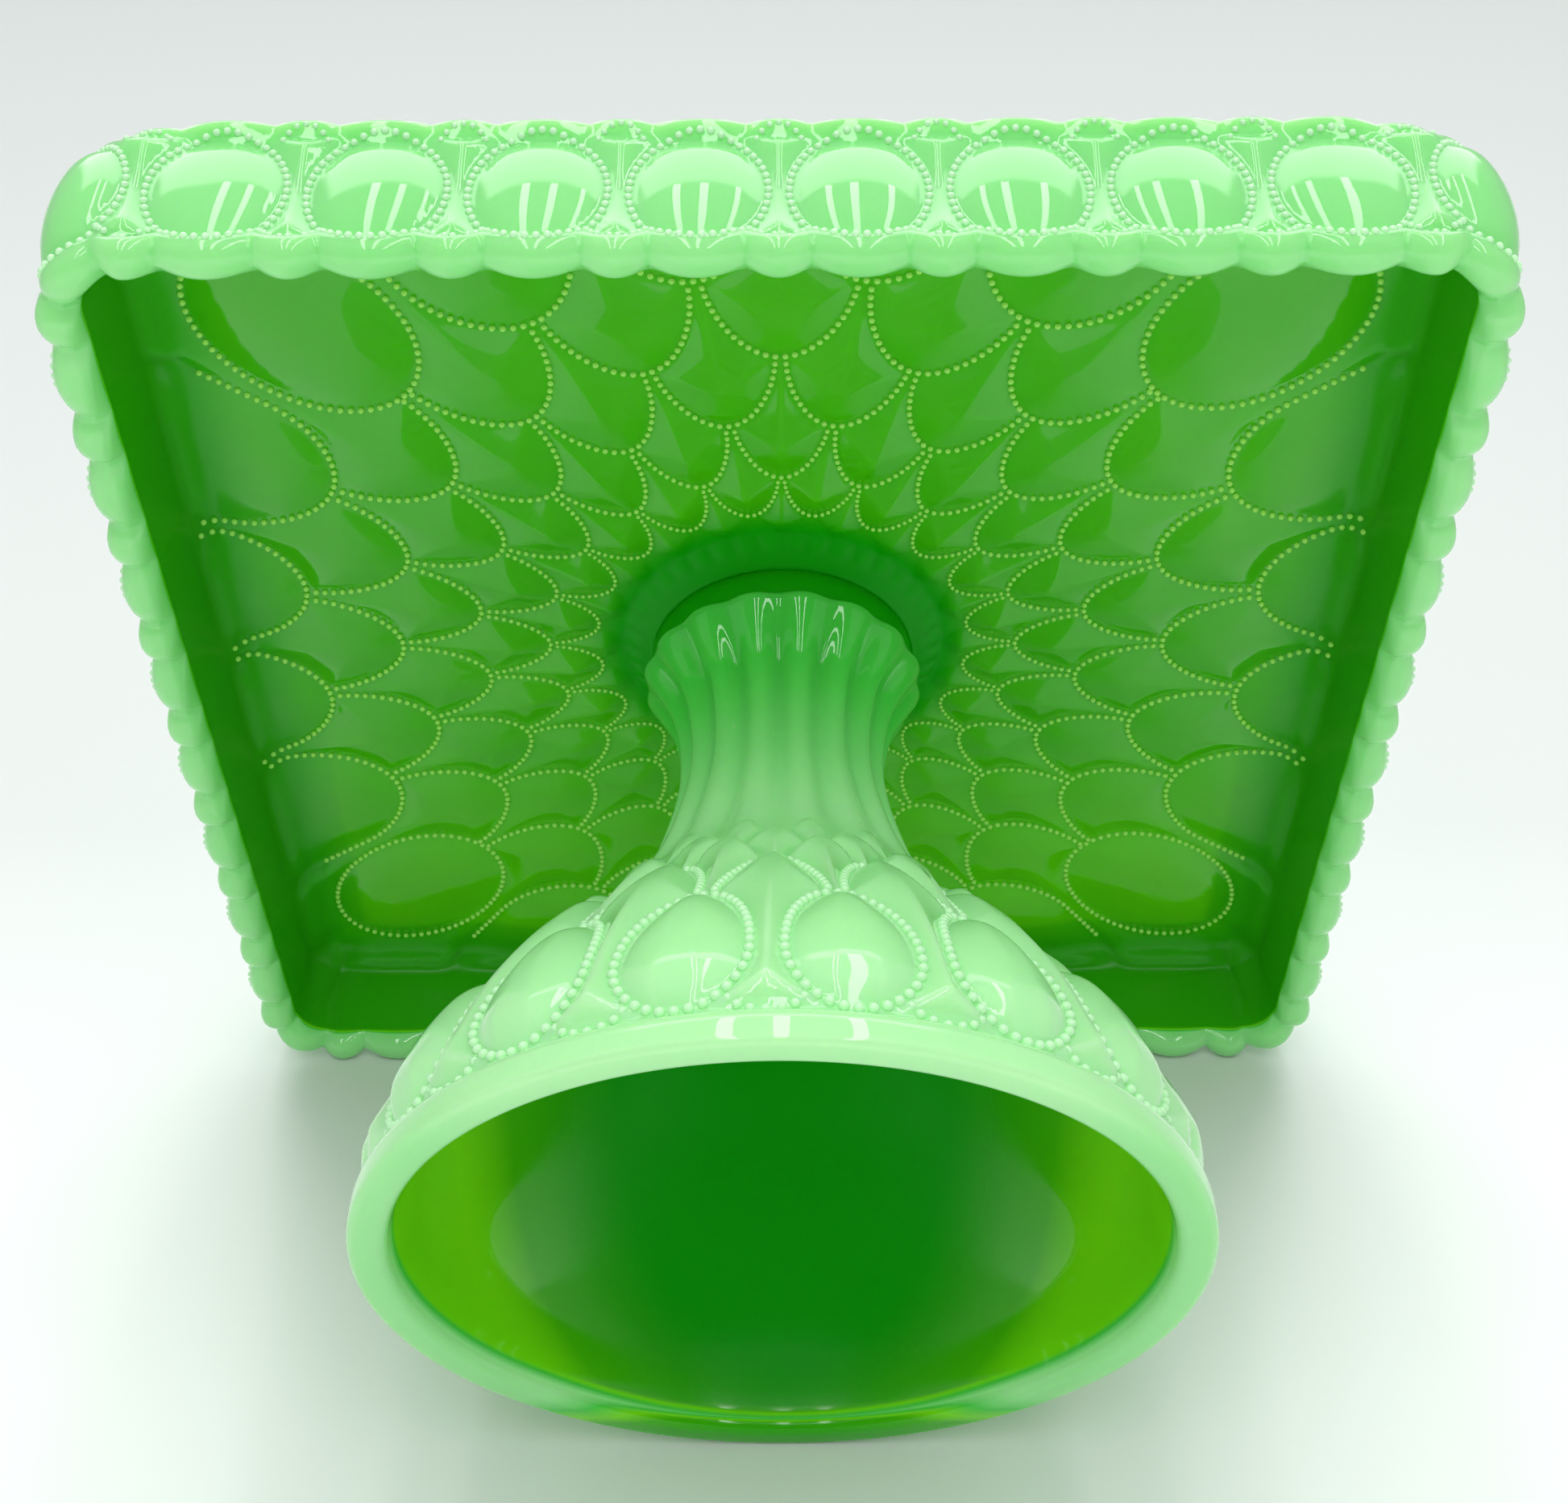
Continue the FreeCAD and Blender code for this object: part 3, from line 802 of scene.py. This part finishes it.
def border_bead(places, heights, size):
    """Beads on the band's face, sunk a little."""
    outward = border_outward(places, heights)
    x, y = rim_path(places, outward - 0.1)
    return np.stack([x, y, heights, np.full(len(places), size / 2)], 1)


def border_pearls():
    """Rings of pearls round the moons, arcs over the keels and rows under them."""
    groups = []
    turn = np.linspace(0, math.tau, 241)
    ring = np.stack([MOON_CHAIN[0] * np.sin(turn), MOON_CHAIN[1] * np.cos(turn)], 1)
    ring = even_samples(ring, MOON_PEARLS["pitch"])[:-1]
    bend = np.linspace(-1.15, 1.15, 40)
    arch = np.stack([4.3 * np.sin(bend), LIP_Z - 6.1 + 4.3 * np.cos(bend)], 1)
    arch = even_samples(arch, ARCH_PEARLS["pitch"])
    slope = np.linspace(0.7, 5.2, 30)
    row = np.stack([slope, RIM_Z + 4.6 + 0.95 * (slope - 0.7)], 1)
    row = even_samples(row, ROW_PEARLS["pitch"])
    for moon in range(4 * MOONS):
        middle = moon + 0.5
        groups.append(border_bead(middle + ring[:, 0] / PITCH, MOON_Z + ring[:, 1], MOON_PEARLS["size"]))
        groups.append(border_bead(moon + arch[:, 0] / PITCH, arch[:, 1], ARCH_PEARLS["size"]))
        for side in (-1, 1):
            groups.append(border_bead(moon + side * row[:, 0] / PITCH, row[:, 1], ROW_PEARLS["size"]))
    return np.concatenate(groups)


def bell_beads(length, angle, size):
    """Beads on the bell, sunk a little."""
    radius, z, out, up = bell_at(length)
    centres = around(radius + 0.15 * out, angle + PEDESTAL_TURN, z + 0.15 * up)
    return np.column_stack([centres, np.full(len(angle), size / 2)])


def tear_line(row, closed):
    """Length up the bell and turn from the middle, at even steps along a teardrop's edge."""
    belly = length_at_height(row["belly"])
    half = length_at_height(row["tip"]) - belly
    bend = np.linspace(0, math.tau, 361) if closed else np.linspace(-math.pi / 2, math.pi / 2, 181)
    rise = np.cos(bend)
    length = belly + np.where(rise > 0, rise * half, rise * (belly - LOWEST_EDGE))
    off = math.radians(row["half"]) * np.sin(bend)
    steps = np.hypot(np.diff(off * bell_at(length)[0]), np.diff(length))
    walked = np.concatenate([[0], np.cumsum(steps)])
    count = int(round(walked[-1] / (row["pearl"] * FOOT_PEARL_SPACING)))
    even = np.linspace(0, walked[-1], count + 1)
    if closed:
        even = even[:-1]
    return np.interp(even, walked, length), np.interp(even, walked, off)


def tear_pearls():
    """Pearls round the teardrops, left out where a lower teardrop lies over them."""
    groups = []
    for index, row in enumerate(FOOT_ROWS):
        if row["pearl"] == 0:
            continue
        length, off = tear_line(row, index == 0)
        radius = bell_at(length)[0]
        for drop in range(FLUTES):
            angle = (drop + row["turn"]) * FLUTE_STEP + off
            keep = np.ones(len(angle), dtype=bool)
            if index > 0:
                keep = foot_depth(length, angle, radius, FOOT_ROWS[0], True) < -0.5 * row["pearl"]
            groups.append(bell_beads(length[keep], angle[keep], row["pearl"]))
    return groups


def diamond_pearls():
    """A short chain of pearls under each diamond."""
    chain = CHAIN_UNDER_DIAMOND
    bend = np.linspace(-math.pi / 2, math.pi / 2, 9)
    top = length_at_height(chain["top"])
    length = top - (top - length_at_height(chain["foot"])) * np.cos(bend)
    off = math.radians(chain["half"]) * np.sin(bend)
    clear = foot_depth(length, off, bell_at(length)[0], FOOT_ROWS[0], True) < -0.35 * chain["pearl"]
    length = length[clear]
    off = off[clear]
    return [bell_beads(length, drop * FLUTE_STEP + off, chain["pearl"]) for drop in range(FLUTES)]


def foot_pearls():
    """All pearls of the foot."""
    return np.concatenate(tear_pearls() + diamond_pearls())


def make_pearls(name, beads):
    """One mesh of many small closed balls, with no painted shade: the palest end of their glass's
    greens.
    """
    work = bmesh.new()
    bmesh.ops.create_icosphere(work, subdivisions=2, radius=1.0)
    ball = np.array([vertex.co[:] for vertex in work.verts])
    triangles = np.array([[vertex.index for vertex in face.verts] for face in work.faces])
    work.free()
    points = (beads[:, None, :3] + ball[None] * beads[:, None, 3:4]).reshape(-1, 3)
    faces = (triangles[None] + len(ball) * np.arange(len(beads))[:, None, None]).reshape(-1, 3)
    return make_piece(name, points, faces.tolist(), np.zeros(len(points)))


# ---------------- shader nodes

def add_node(tree, kind, inputs=None, **settings):
    """Shader node; each of its inputs is a plain value or another node's output."""
    node = tree.nodes.new("ShaderNode" + kind)
    for name, value in settings.items():
        setattr(node, name, value)
    for name, value in (inputs or {}).items():
        if isinstance(value, bpy.types.NodeSocket):
            tree.links.new(value, node.inputs[name])
        else:
            node.inputs[name].default_value = value
    return node


def maths(tree, operation, *values):
    """One step of arithmetic on outputs or numbers."""
    return add_node(tree, "Math", dict(enumerate(values)), operation=operation).outputs[0]


def noise(tree, place, scale, detail):
    """Soft noise that stays with the object."""
    return add_node(tree, "TexNoise", {"Vector": place, "Scale": scale, "Detail": detail}).outputs["Fac"]


def spread_out(tree, value, **ends):
    """Value carried from one range to another; ends left out are 0 and 1."""
    inputs = {end.replace("_", " ").title(): number for end, number in ends.items()}
    return add_node(tree, "MapRange", {"Value": value, **inputs}).outputs["Result"]


def soft_edge(tree, value, start, end):
    """0 at start and 1 at end, softly."""
    inputs = {"Value": value, "From Min": start, "From Max": end}
    return add_node(tree, "MapRange", inputs, interpolation_type="SMOOTHSTEP").outputs["Result"]


def along(tree, place, direction):
    """How far a place or a view lies along a direction."""
    inputs = {0: place, 1: tuple(direction)}
    return add_node(tree, "VectorMath", inputs, operation="DOT_PRODUCT").outputs["Value"]


# ---------------- glass

# Greens of the glass from lit to shaded: the per-point painted shade picks among them, from the pale lit
# glass to the deepest green in shade
PALE_GREEN = (0.45, 0.89, 0.43, 1)
JADE_GREEN = (0.065, 0.58, 0.065, 1)
LIME_GREEN = (0.20, 0.70, 0.006, 1)
LEAF_GREEN = (0.060, 0.44, 0.003, 1)
DEEP_GREEN = (0.001, 0.34, 0.001, 1)
# painted shade: the wafer's glass starts from a deeper green than the rest
WAFER_GREEN = (0.10, 0.60, 0.06, 1)
# painted light: the pearls get greens paler than the glass round them, for the light they catch; the
# scale pearls one between the pale glass and the shaded underside
SCALE_PEARL_GREEN = (0.36, 0.86, 0.12, 1)
PEARL_GREEN = (0.58, 0.98, 0.56, 1)
TINT_STOPS = ((0.3, JADE_GREEN), (0.48, LIME_GREEN), (0.62, LEAF_GREEN))
DULL_FROM = 0.6                     # from this tint on, the skin is less glossy


def glass_material(name, pale, roughness, cloudiness=0.6):
    """Pressed glass: clouded colour with painted shade that deepens it in hollows and other shaded
    places, a fire-polished skin with faint waves.
    """
    material = bpy.data.materials.new(name)
    material.use_nodes = True
    tree = material.node_tree
    shader = tree.nodes["Principled BSDF"]
    place = add_node(tree, "TexCoord").outputs["Object"]
    shade_depth = add_node(tree, "Attribute", attribute_name="shade_depth").outputs["Fac"]

    # random clouding plus the painted shade
    cloud_and_shade = maths(tree, "MULTIPLY_ADD", noise(tree, place, 18.0, 3.0), 0.08, shade_depth)
    depth = add_node(tree, "Math", {0: cloud_and_shade, 1: 0.04}, operation="SUBTRACT", use_clamp=True)
    tint = add_node(tree, "ValToRGB", {"Fac": depth.outputs[0]})
    tint.color_ramp.elements[0].color = pale
    tint.color_ramp.elements[1].color = DEEP_GREEN
    for stop, colour in TINT_STOPS:
        tint.color_ramp.elements.new(stop).color = colour
    tree.links.new(tint.outputs["Color"], shader.inputs["Base Color"])

    haze = noise(tree, place, 60.0, 4.0)
    gloss = spread_out(tree, haze, to_min=roughness * 0.7, to_max=roughness * 1.4)
    dull = spread_out(tree, shade_depth, from_min=DULL_FROM, to_max=0.35)
    tree.links.new(maths(tree, "ADD", gloss, dull), shader.inputs["Roughness"])
    polish = spread_out(tree, shade_depth, from_min=DULL_FROM, to_min=0.5, to_max=0.12)
    tree.links.new(polish, shader.inputs["Specular IOR Level"])

    wave = noise(tree, place, 120.0, 2.0)
    bump = add_node(tree, "Bump", {"Height": wave, "Strength": 0.05, "Distance": 0.0004})
    tree.links.new(bump.outputs["Normal"], shader.inputs["Normal"])

    shader.inputs["IOR"].default_value = 1.52
    shader.inputs["Subsurface Weight"].default_value = cloudiness
    shader.inputs["Subsurface Radius"].default_value = (0.6, 1.0, 0.35)
    shader.inputs["Subsurface Scale"].default_value = 0.014
    return material


# ---------------- stage, lights and camera

FLOOR_FOOT = np.array([0.0, FOOT_RADIUS, 1.0])  # where the lying stand touches the floor
FLOOR_RIM = np.array([0.0, HALF, RIM_Z + 2.0])
# painted light on the floor: paler near the stand, darker far behind it, where the light falls off
FLOOR_NEAR = (0.89, 0.915, 0.905, 1)
FLOOR_FAR = (0.69, 0.715, 0.705, 1)
FLOOR_HALF_WIDTH = 3.5
FLOOR_DEPTH = (-3.0, 4.0)           # metres in front of the foot and behind it


def floor_frame():
    """Axes of the floor that the stand leans on: across, back and up."""
    back = (FLOOR_RIM - FLOOR_FOOT) / np.linalg.norm(FLOOR_RIM - FLOOR_FOOT)
    across = np.array([1.0, 0.0, 0.0])
    return across, back, np.cross(across, back)


def floor_material(back):
    """Pale matt floor with painted light: paler in front and darker further back, where the light falls
    off; seen from its back it lets the camera through.
    """
    material = bpy.data.materials.new("floor_pale")
    material.use_nodes = True
    tree = material.node_tree
    shader = tree.nodes["Principled BSDF"]
    place = add_node(tree, "TexCoord").outputs["Object"]
    grain = add_node(tree, "TexNoise", {"Scale": 4.0}).outputs["Fac"]
    # painted light: the floor darkens with distance behind the stand
    depth = maths(tree, "MULTIPLY_ADD", grain, 0.1, along(tree, place, back))
    far = spread_out(tree, depth, from_min=0.08, from_max=0.32)
    colour = add_node(tree, "Mix", {"A": FLOOR_NEAR, "B": FLOOR_FAR, "Factor": far}, data_type="RGBA")
    tree.links.new(colour.outputs["Result"], shader.inputs["Base Color"])
    shader.inputs["Roughness"].default_value = 0.45
    backfacing = add_node(tree, "NewGeometry").outputs["Backfacing"]
    camera_ray = add_node(tree, "LightPath").outputs["Is Camera Ray"]
    from_below = maths(tree, "MULTIPLY", backfacing, camera_ray)
    clear = add_node(tree, "BsdfTransparent").outputs[0]
    mix = add_node(tree, "MixShader", {"Fac": from_below, 1: shader.outputs[0], 2: clear})
    tree.links.new(mix.outputs[0], tree.nodes["Material Output"].inputs["Surface"])
    return material


def make_floor():
    """Large plain floor under the lying stand."""
    across, back, up = floor_frame()
    points = []
    for depth in FLOOR_DEPTH:
        middle = FLOOR_FOOT * MM + back * depth
        points.append(tuple(middle - across * FLOOR_HALF_WIDTH))
        points.append(tuple(middle + across * FLOOR_HALF_WIDTH))
    mesh = bpy.data.meshes.new("floor")
    mesh.from_pydata(points, [], [[0, 1, 3, 2]])
    mesh.materials.append(floor_material(back))
    floor = bpy.data.objects.new("floor", mesh)
    bpy.context.scene.collection.objects.link(floor)


TUBE_SIDES = (-0.23, 0.0, 0.33)     # how far to the side each strip of light stands
TUBE_SIZE = (0.10, 2.26)
TUBE_POWER = 4.6
LIT_POINT = Vector((0, 0, 0.08))


def strip_light(name, direction, distance, size, power, turn_to):
    """Rectangular light that faces the stand from a direction; size is across and along."""
    lamp = bpy.data.lights.new(name, "AREA")
    lamp.shape = "RECTANGLE"
    lamp.size, lamp.size_y = size
    lamp.energy = power
    light = bpy.data.objects.new(name, lamp)
    z = Vector(direction).normalized()
    y = Vector(turn_to) - z * Vector(turn_to).dot(z)
    y.normalize()
    turn = Matrix((y.cross(z), y, z)).transposed().to_4x4()
    light.matrix_world = Matrix.Translation(LIT_POINT + z * distance) @ turn
    light.visible_camera = False
    bpy.context.scene.collection.objects.link(light)
    return light


def around_x(degrees):
    """Direction in the YZ plane: 0 is -Y, 90 is +Z."""
    angle = math.radians(degrees)
    return np.array([0.0, -math.cos(angle), math.sin(angle)])


def make_lights():
    """Three strips of light over the stand and two soft fills in front of it."""
    for index, side in enumerate(TUBE_SIDES):
        direction = around_x(12) + np.array([side, 0, 0])
        strip_light(f"tube_{index}", direction, 1.5, TUBE_SIZE, TUBE_POWER, around_x(102))
    fill = strip_light("front_fill", around_x(-35), 0.85, (1.8, 0.7), 3.3, around_x(55))
    fill.visible_glossy = False
    fill.data.use_shadow = False
    low_fill = strip_light("low_fill", around_x(-55), 0.95, (1.6, 0.4), 0.6, around_x(35))
    low_fill.visible_glossy = False


WALL_LIGHT = 0.45
OPENING_LIGHT = 0.07                # share of it left in the booth's open front
PANEL_LIGHT = 2.4
BACKDROP = 0.8                      # plain brightness where the booth itself is in view


def make_room():
    """White booth round the stand: bright above the back, plain at the sides, dark in its open front."""
    across, back, up = floor_frame()
    world = bpy.data.worlds.new("booth")
    world.use_nodes = True
    bpy.context.scene.world = world
    tree = world.node_tree
    view = add_node(tree, "TexCoord").outputs["Generated"]
    rise = along(tree, view, up)
    depth = along(tree, view, back)
    side = maths(tree, "ABSOLUTE", along(tree, view, across))

    frontness = maths(tree, "MULTIPLY_ADD", side, -0.7, maths(tree, "MULTIPLY", depth, -1.0))
    in_front = soft_edge(tree, frontness, -0.03, 0.05)
    opening = maths(tree, "MULTIPLY", in_front, soft_edge(tree, rise, 0.80, 0.74))
    walls = maths(tree, "MULTIPLY_ADD", opening, WALL_LIGHT * (OPENING_LIGHT - 1), WALL_LIGHT)

    below_top = soft_edge(tree, maths(tree, "MULTIPLY_ADD", depth, -1.8, rise), 0.08, -0.08)
    above_back = soft_edge(tree, maths(tree, "MULTIPLY_ADD", depth, -0.33, rise), -0.05, 0.05)
    band = maths(tree, "MULTIPLY", below_top, above_back)
    panel = maths(tree, "MULTIPLY", band, soft_edge(tree, side, 0.55, 0.45))
    strength = maths(tree, "MULTIPLY_ADD", panel, PANEL_LIGHT, walls)

    to_backdrop = maths(tree, "MULTIPLY_ADD", strength, -1.0, BACKDROP)
    camera_ray = add_node(tree, "LightPath").outputs["Is Camera Ray"]
    seen = maths(tree, "MULTIPLY_ADD", camera_ray, to_backdrop, strength)
    background = tree.nodes["Background"]
    background.inputs["Color"].default_value = (0.96, 1.0, 0.98, 1)
    tree.links.new(seen, background.inputs["Strength"])


CAMERA_PLACE = Vector((0.0020, -0.3823, -0.1906))
CAMERA_TILT = math.radians(51.12)   # from +Z towards +Y
CAMERA_YAW = math.radians(-0.2)
CAMERA_ROLL = math.radians(-0.18)
CAMERA_LENS = 54.45                 # on a 36 mm wide sensor


def make_camera():
    """Camera below and in front of the stand, looking up at its underside."""
    forward = Vector((0, math.sin(CAMERA_TILT), math.cos(CAMERA_TILT)))
    up = Vector((0, -math.cos(CAMERA_TILT), math.sin(CAMERA_TILT)))
    right = Vector((1, 0, 0))
    look = forward * math.cos(CAMERA_YAW) + right * math.sin(CAMERA_YAW)
    side = right * math.cos(CAMERA_YAW) - forward * math.sin(CAMERA_YAW)
    level = side * math.cos(CAMERA_ROLL) + up * math.sin(CAMERA_ROLL)
    top = up * math.cos(CAMERA_ROLL) - side * math.sin(CAMERA_ROLL)
    data = bpy.data.cameras.new("camera")
    data.lens = CAMERA_LENS
    data.sensor_width = 36.0
    camera = bpy.data.objects.new("camera", data)
    turn = Matrix((level, top, -look)).transposed().to_4x4()
    camera.matrix_world = Matrix.Translation(CAMERA_PLACE) @ turn
    bpy.context.scene.collection.objects.link(camera)
    bpy.context.scene.camera = camera


# ---------------- putting it together

def dress(piece, material):
    """Material and body of one piece."""
    piece.data.materials.append(material)
    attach(piece, "root")


make_camera()
make_floor()
make_lights()
make_room()
bpy.context.scene.view_settings.view_transform = "Standard"

jade = glass_material("jade_glass", PALE_GREEN, 0.03)
# painted shade: a deeper copy of the glass for the wafer under the plate
wafer_jade = glass_material("wafer_glass", WAFER_GREEN, 0.06)
# painted light: paler copies of the glass for the pearls, for the light they catch
bead_jade = glass_material("bead_glass", SCALE_PEARL_GREEN, 0.05, 0.1)
pearl_jade = glass_material("pearl_glass", PEARL_GREEN, 0.05, 0.1)

plate = make_plate()
dress(plate, jade)
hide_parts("plate")
dress(make_pearls("plate_scale_pearls", underside_pearls()), bead_jade)
dress(make_pearls("plate_border_pearls", border_pearls()), pearl_jade)

wafer = make_wafer()
dress(wafer, wafer_jade)
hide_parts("wafer")

pedestal = make_pedestal()
dress(pedestal, jade)
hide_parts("pedestal")
dress(make_pearls("pedestal_pearls", foot_pearls()), pearl_jade)
